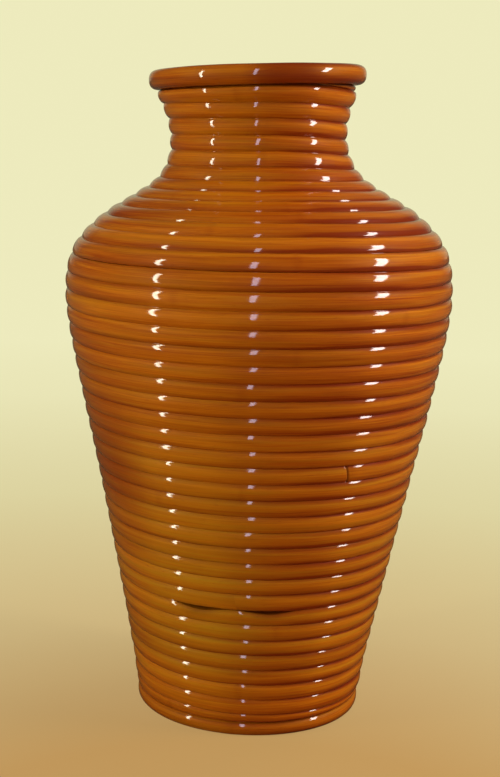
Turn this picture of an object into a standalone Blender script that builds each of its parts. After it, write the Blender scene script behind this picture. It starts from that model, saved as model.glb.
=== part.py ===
"""Rattan vase: one long winding of round cane over bent ribs, closed by a foot ring and a rim ring.

Metres, +Z up, the photographed side faces -Y. An azimuth is measured from -Y towards +X.
"""
import math

import bmesh
import bpy
from mathutils import Matrix, Vector

# Canes
CANE = 0.0109            # wound cane, diameter
RIM_CANE = 0.0135        # heavier cane of the rim ring
FOOT_CANE = 0.0111       # cane of the foot ring
RIB_CANE = 0.009         # upright cane inside the wall
HOOP_CANE = 0.007        # cane of the two inner hoops
TIP_SHARE = 0.2          # thickness left at a shaved end of the winding

# Outline of the wall, outer radii and heights
HEIGHT = 0.457           # floor to the top of the rim, on the axis
FOOT_RADIUS = 0.0812
FOOT_BAND = 0.032        # height of the nearly upright band at the foot
FOOT_FLARE = 0.0034      # how much the band widens
BELLY_HEIGHT = 0.303
BELLY_RADIUS = 0.1364
NECK_DROP = 0.045        # from the top of the rim down to the narrowest place
NECK_RADIUS = 0.0618
RIM_RADIUS = 0.0755
RIM_FLARE = math.radians(28)    # slope of the wall below the rim, from upright
RIM_LEAN = math.radians(3.7)    # the mouth tips up to +X, as a hand-made wall does

# Way points between two of the sizes above, as shares of the height and of the radius
FLANK = [(0.44, 0.457), (0.85, 0.905)]
SHOULDER = [(0.275, 0.072), (0.486, 0.338), (0.706, 0.834), (0.853, 0.975)]
THROAT = [(0.47, 0.25)]

# Fits
CLEARANCE = 0.0003       # air between two pieces that touch
WIND_GAP = 0.00062       # least air between the corners of one turn and the next
FOOT_FLAT = 0.0005       # depth of the flat that the foot ring stands on

# Winding
CORNERS = 16             # corners in one turn
CORNER_UP = math.radians(30)    # turns a corner of the six-sided cane towards the next turn
TIP_AZIMUTH = math.radians(33)  # where the winding ends under the rim
JOINT_TURNS = [4.84, 8.36, 12.75, 16.25, 20.9, 25.7, 30.8, 36.8]   # butt joints, in turns from the foot

# Frame
RIB_STEP = 2             # a rib stands at every second corner
RIB_AIR = 0.0006         # air between a rib's corners and the turns
RIB_RUN = 0.016          # straight upright foot of a rib
RIB_LEAVE = 0.0218       # height below the rim ring where a rib leaves the wall for its straight top
CLOSER_FROM = 0.67       # share of the belly's height above which a rib's corners stand closer
FLANK_STEP = 0.03        # spacing of a rib's corners up to there
SHOULDER_STEP = 0.008    # spacing of a rib's corners above it
RIB_HEAD = 0.007         # length of the straight top of a rib, nailed in its middle
RIB_TILT = math.radians(8)      # slope of that top, from upright

# Base board
BOARD_THICKNESS = 0.006
BOARD_LIFT = 0.002       # from the floor to its underside
BOARD_EDGE = 0.0008      # bevel
BOARD_SIDES = 48

# Nails
SHANK = 0.0016
HEAD = 0.0042
HEAD_THICKNESS = 0.0007
RIM_BITE = 0.008         # length of shank inside the rim cane
RIB_BITE = 0.011         # length of shank inside the foot of a rib
HOLE_END = 0.0006        # spare depth at the end of a nail hole
NAIL_SIDES = 8

# Measuring
MERGE = 1e-6             # points closer than this are one
SEARCH_ROUNDS = 6        # rounds of each search for a length
WALL_STEPS = 1000        # steps in which the length of the wall is added up

NECK_HEIGHT = HEIGHT - NECK_DROP
STEP = 2 * math.pi / CORNERS
STRADDLE = 2 / (1 + math.cos(STEP / 2))     # puts corners and chords equally far from the circle
FOOT_MIDDLE = (FOOT_RADIUS - FOOT_CANE / 2, FOOT_CANE / 2 - FOOT_FLAT)     # radius and height of its cane
RIM_MIDDLE = (RIM_RADIUS - RIM_CANE / 2, HEIGHT - RIM_CANE / 2)


def clear_scene():
    for thing in list(bpy.data.objects):
        bpy.data.objects.remove(thing)


def new_collection(name):
    made = bpy.data.collections.new(name)
    bpy.context.scene.collection.children.link(made)
    return made


def new_material(name, colour, roughness, metallic=0.0):
    made = bpy.data.materials.new(name)
    made.use_nodes = True
    shader = made.node_tree.nodes["Principled BSDF"]
    shader.inputs["Base Color"].default_value = (*colour, 1)
    shader.inputs["Roughness"].default_value = roughness
    shader.inputs["Metallic"].default_value = metallic
    made.diffuse_color = (*colour, 1)
    return made


# Outline

def between(lower, upper, shares):
    return [(lower[0] + high * (upper[0] - lower[0]), lower[1] + wide * (upper[1] - lower[1]))
            for high, wide in shares]


def way_points():
    """Heights and outer radii from the foot ring's side to where the rim ring meets the wall."""
    foot = (FOOT_MIDDLE[1], FOOT_RADIUS)
    band = (FOOT_BAND, FOOT_RADIUS + FOOT_FLARE)
    belly = (BELLY_HEIGHT, BELLY_RADIUS)
    neck = (NECK_HEIGHT, NECK_RADIUS)
    rim = (RIM_MIDDLE[1] - RIM_CANE / 2 * math.sin(RIM_FLARE),
           RIM_MIDDLE[0] + RIM_CANE / 2 * math.cos(RIM_FLARE))
    return [foot, band, *between(band, belly, FLANK), belly,
            *between(belly, neck, SHOULDER), neck, *between(neck, rim, THROAT), rim]


def outline_slopes(points):
    inner = [(after[1] - before[1]) / (after[0] - before[0]) for before, after in zip(points, points[2:])]
    start = (points[1][1] - points[0][1]) / (points[1][0] - points[0][0])
    return [start, *inner, math.tan(RIM_FLARE)]


POINTS = way_points()
SLOPES = outline_slopes(POINTS)
FOOT_MARK = POINTS[0][0]
RIM_MARK = POINTS[-1][0]


def outline(height):
    """Outer radius of the wall and its slope at a height, from a smooth curve through the way points."""
    index = 0
    while index < len(POINTS) - 2 and height > POINTS[index + 1][0]:
        index += 1
    (low, start), (high, end) = POINTS[index], POINTS[index + 1]
    span = high - low
    share = (height - low) / span
    rise, run = SLOPES[index] * span, SLOPES[index + 1] * span
    bend_a = 3 * (end - start) - 2 * rise - run
    bend_b = 2 * (start - end) + rise + run
    radius = start + share * (rise + share * (bend_a + share * bend_b))
    slope = (rise + share * (2 * bend_a + 3 * share * bend_b)) / span
    return radius, slope


def wall(mark, inward):
    """Radius and height of the point that lies a distance inside the outline, square to it."""
    radius, slope = outline(mark)
    length = math.hypot(1, slope)
    return radius - inward / length, mark + inward * slope / length


def lean(radius, height, azimuth):
    """Place a ring point on the axis, which curves away from +X so that the mouth leans."""
    share = height / HEIGHT
    tilt = RIM_LEAN * share ** 2
    drift = -RIM_LEAN * HEIGHT * (share ** 3 - (BELLY_HEIGHT / HEIGHT) ** 3) / 3
    across = radius * math.sin(azimuth)
    return Vector((drift + across * math.cos(tilt), -radius * math.cos(azimuth),
                   height + across * math.sin(tilt)))


def corner(radius, height, azimuth):
    return lean(radius * STRADDLE, height, azimuth)


def wall_point(mark, inward, azimuth):
    return corner(*wall(mark, inward), azimuth)


def corner_ring(radius, height):
    """The corners of a level ring, in the winding's own azimuths."""
    return [corner(radius, height, TIP_AZIMUTH + index * STEP) for index in range(CORNERS)]


# Winding

def advance(mark, distance, azimuth, start):
    """The mark above this one whose cane centre lies a distance from the start point."""
    reach = distance
    for _ in range(SEARCH_ROUNDS):
        gone = (wall_point(mark + reach, CANE / 2, azimuth) - start).length
        reach *= distance / gone
    return mark + reach


def cane_radius(index, last):
    """Radius at a corner: the first and the last turn are shaved to a wedge."""
    share = min(index, last - index, CORNERS) / CORNERS
    return CANE / 2 * (TIP_SHARE + (1 - TIP_SHARE) * share)


def lay_column(first, last, gap):
    """Stack the turns at one azimuth on the foot ring and return them with the room left at the rim."""
    azimuth = TIP_AZIMUTH + (last - first) * STEP
    below = corner(*FOOT_MIDDLE, azimuth)
    below_radius = FOOT_CANE / 2
    mark = FOOT_MARK
    placed = []
    for index in range(first, last + 1, CORNERS):
        radius = cane_radius(index, last)
        mark = advance(mark, below_radius + gap + radius, azimuth, below)
        below = wall_point(mark, CANE / 2, azimuth)
        below_radius = radius
        placed.append((below, radius, CORNER_UP - math.atan(outline(mark)[1])))
    room = (corner(*RIM_MIDDLE, azimuth) - below).length - (below_radius + gap + RIM_CANE / 2)
    return placed, room


def count_corners():
    """How many corners fit between the rings in the shortest column, which is the one at -X."""
    azimuth = math.radians(-90)
    below = wall_point(FOOT_MARK, CANE / 2, azimuth)
    length = 0
    for index in range(1, WALL_STEPS + 1):
        above = wall_point(FOOT_MARK + (RIM_MARK - FOOT_MARK) * index / WALL_STEPS, CANE / 2, azimuth)
        length += (above - below).length
        below = above
    free = length - FOOT_CANE / 2 - RIM_CANE / 2 - WIND_GAP - CANE * TIP_SHARE
    return int(CORNERS * (1 + free / (CANE + WIND_GAP)))


def wind():
    """Every corner of the winding, from the foot up, each with its radius and its tilt."""
    last = count_corners()
    corners = {}
    for first in range(CORNERS):
        gap = WIND_GAP
        turns = (last - first) // CORNERS + 2
        for _ in range(SEARCH_ROUNDS):
            placed, room = lay_column(first, last, gap)
            gap += room / turns
        for turn, spot in enumerate(placed):
            corners[first + turn * CORNERS] = spot
    return [corners[index] for index in range(last + 1)]


def least_wind_gap(corners):
    """Least air between neighbouring turns, on the corners and on the middles of the chords."""
    least = 1.0
    for index in range(len(corners) - CORNERS - 1):
        low, high = corners[index], corners[index + CORNERS]
        least = min(least, (high[0] - low[0]).length - low[1] - high[1])
        low_next, high_next = corners[index + 1], corners[index + CORNERS + 1]
        middle = (high[0] + high_next[0] - low[0] - low_next[0]) / 2
        least = min(least, middle.length - (low[1] + high[1] + low_next[1] + high_next[1]) / 2)
    return least


def cane_runs(corners):
    """Cut the winding into canes that meet end to end in the middle of a chord.

    A joint in the top two turns is left out, because those are shaved and wedged under the rim.
    """
    ends = [int(joint * CORNERS) for joint in JOINT_TURNS if joint < len(corners) / CORNERS - 2]
    runs = []
    start = 0
    opening = []
    for end in ends:
        (low, radius, tilt), (high, _, _) = corners[end], corners[end + 1]
        middle = (low + high) / 2
        along = (high - low).normalized() * CLEARANCE / 2
        runs.append(opening + corners[start:end + 1] + [(middle - along, radius, tilt)])
        opening = [(middle + along, radius, tilt)]
        start = end + 1
    runs.append(opening + corners[start:])
    return runs


# Shapes

def add_tube(name, run, material, group, closed=False, resolution=1, twist="Z_UP"):
    """A round cane through a list of points, each with its radius and its tilt."""
    curve = bpy.data.curves.new(name, "CURVE")
    curve.dimensions = "3D"
    curve.fill_mode = "FULL"
    curve.twist_mode = twist
    curve.bevel_depth = 1.0
    curve.bevel_resolution = resolution
    curve.use_fill_caps = not closed
    spline = curve.splines.new("POLY")
    spline.points.add(len(run) - 1)
    for slot, (point, radius, tilt) in zip(spline.points, run):
        slot.co = (*point, 1)
        slot.radius = radius
        slot.tilt = tilt
    spline.use_cyclic_u = closed
    spline.use_smooth = True
    curve.materials.append(material)
    made = bpy.data.objects.new(name, curve)
    group.objects.link(made)
    return made


def to_mesh(tube):
    """Turn a curve into a closed mesh, so that it can be cut."""
    bpy.context.view_layer.update()
    mesh = bpy.data.meshes.new_from_object(tube.evaluated_get(bpy.context.evaluated_depsgraph_get()))
    shell = bmesh.new()
    shell.from_mesh(mesh)
    bmesh.ops.remove_doubles(shell, verts=shell.verts, dist=MERGE)
    shell.to_mesh(mesh)
    shell.free()
    name, place, groups = tube.name, tube.matrix_world.copy(), tube.users_collection
    bpy.data.objects.remove(tube)
    made = bpy.data.objects.new(name, mesh)
    made.matrix_world = place
    groups[0].objects.link(made)
    return made


def axis_frame(origin, direction):
    """A frame whose +Z runs along a direction."""
    return Matrix.Translation(origin) @ direction.to_track_quat("Z", "X").to_matrix().to_4x4()


def add_cylinder(name, radius, depth, sides, group, material=None):
    """A cylinder that stands on its origin."""
    mesh = bpy.data.meshes.new(name)
    shell = bmesh.new()
    bmesh.ops.create_cone(shell, cap_ends=True, segments=sides, radius1=radius, radius2=radius, depth=depth,
                          matrix=Matrix.Translation((0, 0, depth / 2)))
    shell.to_mesh(mesh)
    shell.free()
    if material:
        mesh.materials.append(material)
    made = bpy.data.objects.new(name, mesh)
    group.objects.link(made)
    return made


def cut(target, cutter):
    cutter.hide_render = True
    cutter.display_type = "WIRE"
    boolean = target.modifiers.new("cut_" + cutter.name, "BOOLEAN")
    boolean.operation = "DIFFERENCE"
    boolean.object = cutter


def add_nail(name, shank_length, origin, direction, material, group):
    """A nail whose head's underside lies at the origin, and whose shank runs along the direction."""
    profile = [(0, -HEAD_THICKNESS), (HEAD / 2, -HEAD_THICKNESS), (HEAD / 2, 0), (SHANK / 2, 0),
               (SHANK / 2, shank_length - SHANK), (0, shank_length)]
    mesh = bpy.data.meshes.new(name)
    shell = bmesh.new()
    corners = [shell.verts.new((radius, 0, height)) for radius, height in reversed(profile)]
    for upper, lower in zip(corners, corners[1:]):
        shell.edges.new((upper, lower))
    shell.to_mesh(mesh)
    shell.free()
    mesh.materials.append(material)
    made = bpy.data.objects.new(name, mesh)
    group.objects.link(made)
    turned = made.modifiers.new("turned", "SCREW")
    turned.steps = NAIL_SIDES
    turned.render_steps = NAIL_SIDES
    turned.use_merge_vertices = True
    turned.merge_threshold = MERGE
    turned.use_smooth_shade = False
    made.matrix_world = axis_frame(origin, direction)
    return made


def nail_hole(target, name, origin, direction, length, group):
    """Cut a hole with clearance round a shank."""
    drill = add_cylinder(name, SHANK / 2 + CLEARANCE, length, NAIL_SIDES, group)
    drill.matrix_world = axis_frame(origin, direction)
    cut(target, drill)


# Pieces

def add_winding(material, group):
    corners = wind()
    print("turns of the winding", round((len(corners) - 1) / CORNERS, 2))
    print("least gap between turns, mm", round(least_wind_gap(corners) * 1000, 3))
    for number, run in enumerate(cane_runs(corners), 1):
        add_tube(f"cane_{number}", run, material, group)


def add_foot_ring(material, group, cutters):
    run = [(point, FOOT_CANE / 2, 0) for point in corner_ring(*FOOT_MIDDLE)]
    ring = to_mesh(add_tube("foot_ring", run, material, group, closed=True, resolution=2))
    floor = add_cylinder("floor_cut", FOOT_RADIUS * 2, FOOT_CANE, 4, cutters)
    floor.location.z = -FOOT_CANE
    cut(ring, floor)
    return ring


def add_rim_ring(material, group):
    run = [(point, RIM_CANE / 2, 0) for point in corner_ring(*RIM_MIDDLE)]
    return to_mesh(add_tube("rim_ring", run, material, group, closed=True, resolution=2))


def even_marks(low, high, spacing):
    """Marks from low up to high, at even steps along the outline."""
    marks = [low]
    while marks[-1] < high - spacing:
        _, slope = outline(marks[-1])
        marks.append(marks[-1] + spacing / math.hypot(1, slope))
    return [*marks, high]


def rib_top(azimuth, past):
    """A point on the straight top of a rib, a distance past the rim nail."""
    seat = RIM_CANE / 2 + CLEARANCE + RIB_CANE / 2
    inward = seat * math.cos(RIB_TILT) - past * math.sin(RIB_TILT)
    upward = seat * math.sin(RIB_TILT) + past * math.cos(RIB_TILT)
    return corner(RIM_MIDDLE[0] - inward, RIM_MIDDLE[1] + upward, azimuth)


def rib_path(azimuth):
    """Centre line of a rib: upright on the board, then along the inside of the wall to the rim."""
    inward = FOOT_CANE / 2 + CLEARANCE + RIB_CANE / 2
    foot = corner(FOOT_MIDDLE[0] - inward, BOARD_LIFT + BOARD_THICKNESS + CLEARANCE, azimuth)
    knee = foot + Vector((0, 0, RIB_RUN))
    closer = BELLY_HEIGHT * CLOSER_FROM
    marks = even_marks(knee.z + RIB_RUN, closer, FLANK_STEP)
    marks += even_marks(closer, RIM_MARK - RIB_LEAVE, SHOULDER_STEP)[1:]
    points = [wall_point(mark, CANE + RIB_AIR + RIB_CANE / 2, azimuth) for mark in marks]
    return [foot, knee, *points, rib_top(azimuth, -RIB_HEAD / 2), rib_top(azimuth, RIB_HEAD / 2)]


def add_ribs(materials, rim, board, group, cutters):
    for number in range(1, CORNERS // RIB_STEP + 1):
        azimuth = TIP_AZIMUTH + (number - 1) * RIB_STEP * STEP
        path = rib_path(azimuth)
        run = [(point, RIB_CANE / 2, 0) for point in path]
        rib = to_mesh(add_tube(f"rib_{number}", run, materials["rib"], group, twist="MINIMUM"))
        top = rib_top(azimuth, 0)
        outward = (corner(*RIM_MIDDLE, azimuth) - top).normalized()
        start = top - outward * (RIB_CANE / 2 + CLEARANCE)
        length = RIB_CANE + 2 * CLEARANCE + RIM_BITE
        add_nail(f"rim_nail_{number}", length, start, outward, materials["nail"], group)
        nail_hole(rib, f"rib_drill_{number}", start - outward * CLEARANCE, outward, RIB_CANE + 3 * CLEARANCE,
                  cutters)
        nail_hole(rim, f"rim_drill_{number}", start + outward * RIB_CANE / 2, outward,
                  length - RIB_CANE / 2 + HOLE_END, cutters)
        up = Vector((0, 0, 1))
        start = Vector((path[0].x, path[0].y, BOARD_LIFT - CLEARANCE))
        length = BOARD_THICKNESS + 2 * CLEARANCE + RIB_BITE
        add_nail(f"base_nail_{number}", length, start, up, materials["nail"], group)
        nail_hole(board, f"board_drill_{number}", start - up * CLEARANCE, up, BOARD_THICKNESS + 3 * CLEARANCE,
                  cutters)
        nail_hole(rib, f"foot_drill_{number}", path[0] - up * CLEARANCE, up,
                  RIB_BITE + 2 * CLEARANCE + HOLE_END, cutters)


def add_hoop(name, mark, material, group):
    """A closed hoop inside the ribs."""
    inward = CANE + RIB_AIR + RIB_CANE + CLEARANCE + HOOP_CANE / 2
    run = [(point, HOOP_CANE / 2, 0) for point in corner_ring(*wall(mark, inward))]
    add_tube(name, run, material, group, closed=True)


def add_board(material, group):
    """The round board inside the foot ring, which the ribs stand on."""
    inside = FOOT_MIDDLE[0] * STRADDLE * math.cos(STEP / 2) - FOOT_CANE / 2
    board = add_cylinder("base_board", inside - CLEARANCE, BOARD_THICKNESS, BOARD_SIDES, group, material)
    board.location = (lean(0, 0, 0).x, 0, BOARD_LIFT)
    edge = board.modifiers.new("edge", "BEVEL")
    edge.width = BOARD_EDGE
    edge.segments = 1
    edge.limit_method = "ANGLE"
    return board


def parent_all(group):
    root = bpy.data.objects.new("rattan_vase", None)
    group.objects.link(root)
    for thing in list(group.objects):
        if thing != root:
            thing.parent = root


def main():
    clear_scene()
    group = new_collection("rattan vase")
    cutters = new_collection("cutters")
    materials = {
        "cane": new_material("lacquered cane", (0.40, 0.125, 0.014), 0.32),
        "rim": new_material("lacquered rim cane", (0.37, 0.112, 0.012), 0.34),
        "foot": new_material("lacquered foot cane", (0.36, 0.105, 0.012), 0.34),
        "rib": new_material("plain cane", (0.50, 0.26, 0.085), 0.62),
        "board": new_material("plain board", (0.42, 0.25, 0.11), 0.7),
        "nail": new_material("bright nail", (0.62, 0.60, 0.56), 0.35, 1.0),
    }
    add_winding(materials["cane"], group)
    add_foot_ring(materials["foot"], group, cutters)
    rim = add_rim_ring(materials["rim"], group)
    board = add_board(materials["board"], group)
    add_ribs(materials, rim, board, group, cutters)
    add_hoop("belly_hoop", BELLY_HEIGHT, materials["rib"], group)
    add_hoop("neck_hoop", NECK_HEIGHT, materials["rib"], group)
    parent_all(group)


main()
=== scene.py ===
"""Looks of a coiled rattan vase: lacquered cane over bare ribs, on the frame of the CAD part.

Metres, +Z up, the photographed side faces -Y. An azimuth is measured from -Y towards +X.
"""
import math

import bmesh
import bpy
from mathutils import Matrix, Vector


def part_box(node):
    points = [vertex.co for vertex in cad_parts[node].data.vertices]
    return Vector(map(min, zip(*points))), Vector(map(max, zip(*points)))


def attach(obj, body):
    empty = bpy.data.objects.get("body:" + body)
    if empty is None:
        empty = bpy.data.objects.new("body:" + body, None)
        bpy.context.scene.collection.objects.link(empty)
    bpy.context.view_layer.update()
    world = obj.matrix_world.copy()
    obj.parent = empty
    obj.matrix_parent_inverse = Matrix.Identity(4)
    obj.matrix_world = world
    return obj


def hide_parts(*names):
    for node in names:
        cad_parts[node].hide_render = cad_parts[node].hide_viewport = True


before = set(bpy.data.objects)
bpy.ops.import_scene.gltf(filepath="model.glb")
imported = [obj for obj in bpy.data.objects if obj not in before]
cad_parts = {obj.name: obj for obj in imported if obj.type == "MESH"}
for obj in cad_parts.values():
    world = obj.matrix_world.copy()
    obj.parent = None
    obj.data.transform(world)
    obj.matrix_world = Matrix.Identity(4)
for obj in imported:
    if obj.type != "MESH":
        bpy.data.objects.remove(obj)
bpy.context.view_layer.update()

# Canes, as in the CAD part
CANE = 0.0109            # wound cane, diameter
RIM_CANE = 0.0135
FOOT_CANE = 0.0111
RIB_CANE = 0.009
HOOP_CANE = 0.007
TIP_SHARE = 0.2          # thickness left at a shaved end of the winding
CLEARANCE = 0.0003

# Outline of the wall, outer radii and heights, as in the CAD part
HEIGHT = 0.457
FOOT_RADIUS = 0.0812
FOOT_BAND = 0.032
FOOT_FLARE = 0.0034
BELLY_HEIGHT = 0.303
BELLY_RADIUS = 0.1364
NECK_HEIGHT = 0.412
NECK_RADIUS = 0.0618
RIM_RADIUS = 0.0755
RIM_FLARE = math.radians(28)
RIM_LEAN = math.radians(3.7)
FLANK = [(0.44, 0.457), (0.85, 0.905)]
SHOULDER = [(0.275, 0.072), (0.486, 0.338), (0.706, 0.834), (0.853, 0.975)]
THROAT = [(0.47, 0.25)]
FOOT_FLAT = 0.0005

# Winding
TURNS = 41.25
COLUMNS = 96             # points in one turn
CAD_COLUMNS = 16         # and in a turn of the CAD part
TIP_AZIMUTH = math.radians(33)
TIP_POINTS = 8           # points over which the very tip of a shaved end runs out
TIP_LEFT = 0.1           # share of its thickness that is left there
EASE_POINTS = 5          # points to each side over which a turn eases past the tips
PASSES = 4               # rounds of a search that closes in on its answer
FLUSH = 0.75             # share by which the thin first and last turns stand out to the wall's face
HOLLOW_POINTS = 26       # points over which the last turn's tip sinks back under the rim
HOLLOW_SINK = 0.002      # how far it sinks
HOLLOW_THIN = 0.3        # share by which it is thinner there
CLOSE_FIT = 1.08         # how much fuller the real cane is than the CAD one, so its turns touch
JOINTS = [4.84, 8.36, 12.75, 16.25, 20.9, 25.7, 30.8, 36.8]     # in turns from the foot
TIGHT_JOINTS = (8.36,)   # of these, the one that can't be seen
TIGHT_CANES = (2, 3)     # numbers of the canes that meet there
TIGHT_COVER = 0.0015     # hides the rounding and the colour of their ends
END_POINTS = [0.0004, 0.0009, 0.0016, 0.003]    # distances from a cut end at which it has points

# Loose places, above which the crevice gapes: turn, reach in turns, missing share of thickness
LOOSE = [(7.322, 0.028, 0.3), (7.402, 0.03, 0.31)]
LOOSE_SINK = -0.0035     # how far such a place lies back, for a share of 1; below 0, further out

# Sections: CANE of the wound cane, NECK of its turns on the neck, RING of the foot and rim rings
CANE_PRESS = 2.1         # 2 is round, more is pressed square where the turns meet
CANE_SPREAD = 1.45       # height over depth, before the section is cut off where two turns meet
CANE_HALF = 1.06         # half the height after that, in radii
CANE_MEETING = 0.94      # share of that half height at which two turns meet
NECK_CANES = (9,)        # numbers of the canes on the neck
NECK_SPREAD = 1.3
RING_PRESS = 2.4
RING_MEETING = 0.97

# Radius below which a cane is painted with shade, as in a gap, by its number: 2 has the loose
# places and 9 the last tip
DARK_BELOW = {2: 0.0057, 9: 0.0029}

# Frame
RIBS = 8
RIB_AIR = 0.0006
RIB_RUN = 0.016
RIB_LEAVE = 0.0218
RIB_HEAD = 0.007
RIB_TILT = math.radians(8)
RIB_STEP = 0.004         # spacing of the points along a rib
BOARD_THICKNESS = 0.006
BOARD_LIFT = 0.002
BOARD_EDGE = 0.0008
BOARD_LAYERS = 5
SHANK = 0.0016
HEAD = 0.0042
HEAD_THICKNESS = 0.0007
HEAD_FLAT = 0.32         # radius of the flat on a nail's head, over the head's diameter
NAIL_POINT = 1.2         # length of its point, in shank diameters
RIM_BITE = 0.008
RIB_BITE = 0.011

# Sides, besides those of the wound cane
THIN_SIDES = 16          # ribs and hoops
NAIL_SIDES = 24
DISC_SIDES = 128         # board and floor

# Camera, fitted to the photograph
CAMERA = Vector((-0.0037, -1.0295, 0.4134))
PITCH = math.radians(10.05)
ROLL = math.radians(2.19)
LENS = 67.2

STEP = 2 * math.pi / COLUMNS     # azimuth from one point of a turn to the next
STRADDLE = 2 / (1 + math.cos(math.pi / CAD_COLUMNS))    # how much further out the CAD corners are
FOOT_MIDDLE = (FOOT_RADIUS - FOOT_CANE / 2, FOOT_CANE / 2 - FOOT_FLAT)
RIM_MIDDLE = (RIM_RADIUS - RIM_CANE / 2, HEIGHT - RIM_CANE / 2)


# Wall

def between(lower, upper, shares):
    """Points between two others, each at a share of the way up and of the way out."""
    return [(lower[0] + high * (upper[0] - lower[0]), lower[1] + wide * (upper[1] - lower[1]))
            for high, wide in shares]


def way_points():
    """Heights and outer radii from the foot ring's side to where the rim ring meets the wall."""
    foot = (FOOT_MIDDLE[1], FOOT_RADIUS)
    band = (FOOT_BAND, FOOT_RADIUS + FOOT_FLARE)
    belly = (BELLY_HEIGHT, BELLY_RADIUS)
    neck = (NECK_HEIGHT, NECK_RADIUS)
    rim = (RIM_MIDDLE[1] - RIM_CANE / 2 * math.sin(RIM_FLARE),
           RIM_MIDDLE[0] + RIM_CANE / 2 * math.cos(RIM_FLARE))
    return [foot, band, *between(band, belly, FLANK), belly,
            *between(belly, neck, SHOULDER), neck, *between(neck, rim, THROAT), rim]


def outline_slopes(points):
    """The slope at each point, taken from its two neighbours."""
    start = (points[1][1] - points[0][1]) / (points[1][0] - points[0][0])
    inner = [(after[1] - before[1]) / (after[0] - before[0])
             for before, after in zip(points, points[2:])]
    return [start, *inner, math.tan(RIM_FLARE)]


POINTS = way_points()
SLOPES = outline_slopes(POINTS)
FOOT_MARK = POINTS[0][0]
RIM_MARK = POINTS[-1][0]


def outline(height):
    """Outer radius and slope of the wall at a height, on a smooth curve through the points."""
    index = 0
    while index < len(POINTS) - 2 and height > POINTS[index + 1][0]:
        index += 1
    (low, start), (high, end) = POINTS[index], POINTS[index + 1]
    span = high - low
    share = (height - low) / span
    rise, run = SLOPES[index] * span, SLOPES[index + 1] * span
    bend_a = 3 * (end - start) - 2 * rise - run
    bend_b = 2 * (start - end) + rise + run
    radius = start + share * (rise + share * (bend_a + share * bend_b))
    slope = (rise + share * (2 * bend_a + 3 * share * bend_b)) / span
    return radius, slope


def wall(mark, inward):
    """Radius and height of the point that lies a distance inside the outline, square to it."""
    radius, slope = outline(mark)
    length = math.hypot(1, slope)
    return radius - inward / length, mark + inward * slope / length


def lean(radius, height, azimuth):
    """Place a ring point on the axis, which curves away from +X so that the mouth leans."""
    share = height / HEIGHT
    tilt = RIM_LEAN * share ** 2
    drift = -RIM_LEAN * HEIGHT * (share ** 3 - (BELLY_HEIGHT / HEIGHT) ** 3) / 3
    across = radius * math.sin(azimuth)
    return Vector((drift + across * math.cos(tilt), -radius * math.cos(azimuth),
                   height + across * math.sin(tilt)))


def wall_point(mark, inward, azimuth):
    return lean(*wall(mark, inward), azimuth)


# Winding

def advance(mark, distance, azimuth, start):
    """The mark above this one whose cane centre lies a distance from the start point."""
    reach = distance
    for _ in range(PASSES):
        gone = (wall_point(mark + reach, CANE / 2, azimuth) - start).length
        reach *= distance / gone
    return mark + reach


def cane_radius(index, last):
    """Radius at a point: the first and last turns are shaved to a wedge that runs out."""
    from_tip = min(index, last - index)
    share = min(from_tip, COLUMNS) / COLUMNS
    tip = min(1, TIP_LEFT + (1 - TIP_LEFT) * from_tip / TIP_POINTS)
    return CANE / 2 * (TIP_SHARE + (1 - TIP_SHARE) * share) * tip


def lay_column(first, last, gap):
    """Stack the turns at one azimuth on the foot ring: their marks, and the room left above."""
    azimuth = TIP_AZIMUTH + (last - first) * STEP
    below = lean(*FOOT_MIDDLE, azimuth)
    below_radius = FOOT_CANE / 2
    mark = FOOT_MARK
    marks = []
    for index in range(first, last + 1, COLUMNS):
        radius = cane_radius(index, last)
        mark = advance(mark, below_radius + gap + radius, azimuth, below)
        below = wall_point(mark, CANE / 2, azimuth)
        below_radius = radius
        marks.append(mark)
    room = (lean(*RIM_MIDDLE, azimuth) - below).length - (below_radius + gap + RIM_CANE / 2)
    return marks, room


def winding_marks(last):
    """The mark of each point of the winding, with the turns spread evenly up to the rim."""
    marks = {}
    for first in range(COLUMNS):
        gap = 0
        turns = (last - first) // COLUMNS + 2
        for _ in range(PASSES):
            column, room = lay_column(first, last, gap)
            gap += room / turns
        for turn, mark in enumerate(column):
            marks[first + turn * COLUMNS] = mark
    return marks


def looseness(index):
    """Share of the cane's thickness that is missing at a point."""
    return sum(share * math.exp(-((index / COLUMNS - turn) / reach) ** 2)
               for turn, reach, share in LOOSE)


def wind():
    """Every point of the winding, from the foot up, each with its radius and its tilt."""
    last = round(TURNS * COLUMNS)
    marks = winding_marks(last)
    points = []
    for index in range(last + 1):
        reach = min(EASE_POINTS, index, last - index)
        near = [marks[other] for other in range(index - reach, index + reach + 1)]
        mark = sum(near) / len(near)
        azimuth = TIP_AZIMUTH + (last - index) * STEP
        radius = cane_radius(index, last)
        hollow = max(0, 1 - (last - index) / HOLLOW_POINTS)
        loose = looseness(index)
        lean_out = (CANE / 2 - radius) * FLUSH * (1 - hollow)
        inward = CANE / 2 - lean_out + hollow * HOLLOW_SINK + loose * LOOSE_SINK
        points.append((wall_point(mark - radius * loose, inward, azimuth),
                       radius * CLOSE_FIT * (1 - hollow * HOLLOW_THIN - loose),
                       math.atan(outline(mark)[1])))
    return points


def cane_runs(points):
    """Cut the winding into canes that meet end to end, each from its top end down."""
    runs = []
    start = 0
    opening = []
    for joint in JOINTS:
        end = int(joint * COLUMNS)
        (low, radius, tilt), (high, _, _) = points[end], points[end + 1]
        middle = (low + high) / 2
        along = (high - low).normalized() * (0 if joint in TIGHT_JOINTS else CLEARANCE / 2)
        runs.append([*opening, *points[start:end + 1], (middle - along, radius, tilt)])
        opening = [(middle + along, radius, tilt)]
        start = end + 1
    runs.append(opening + points[start:])
    return [fine_ends(run[::-1]) for run in runs]


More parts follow.
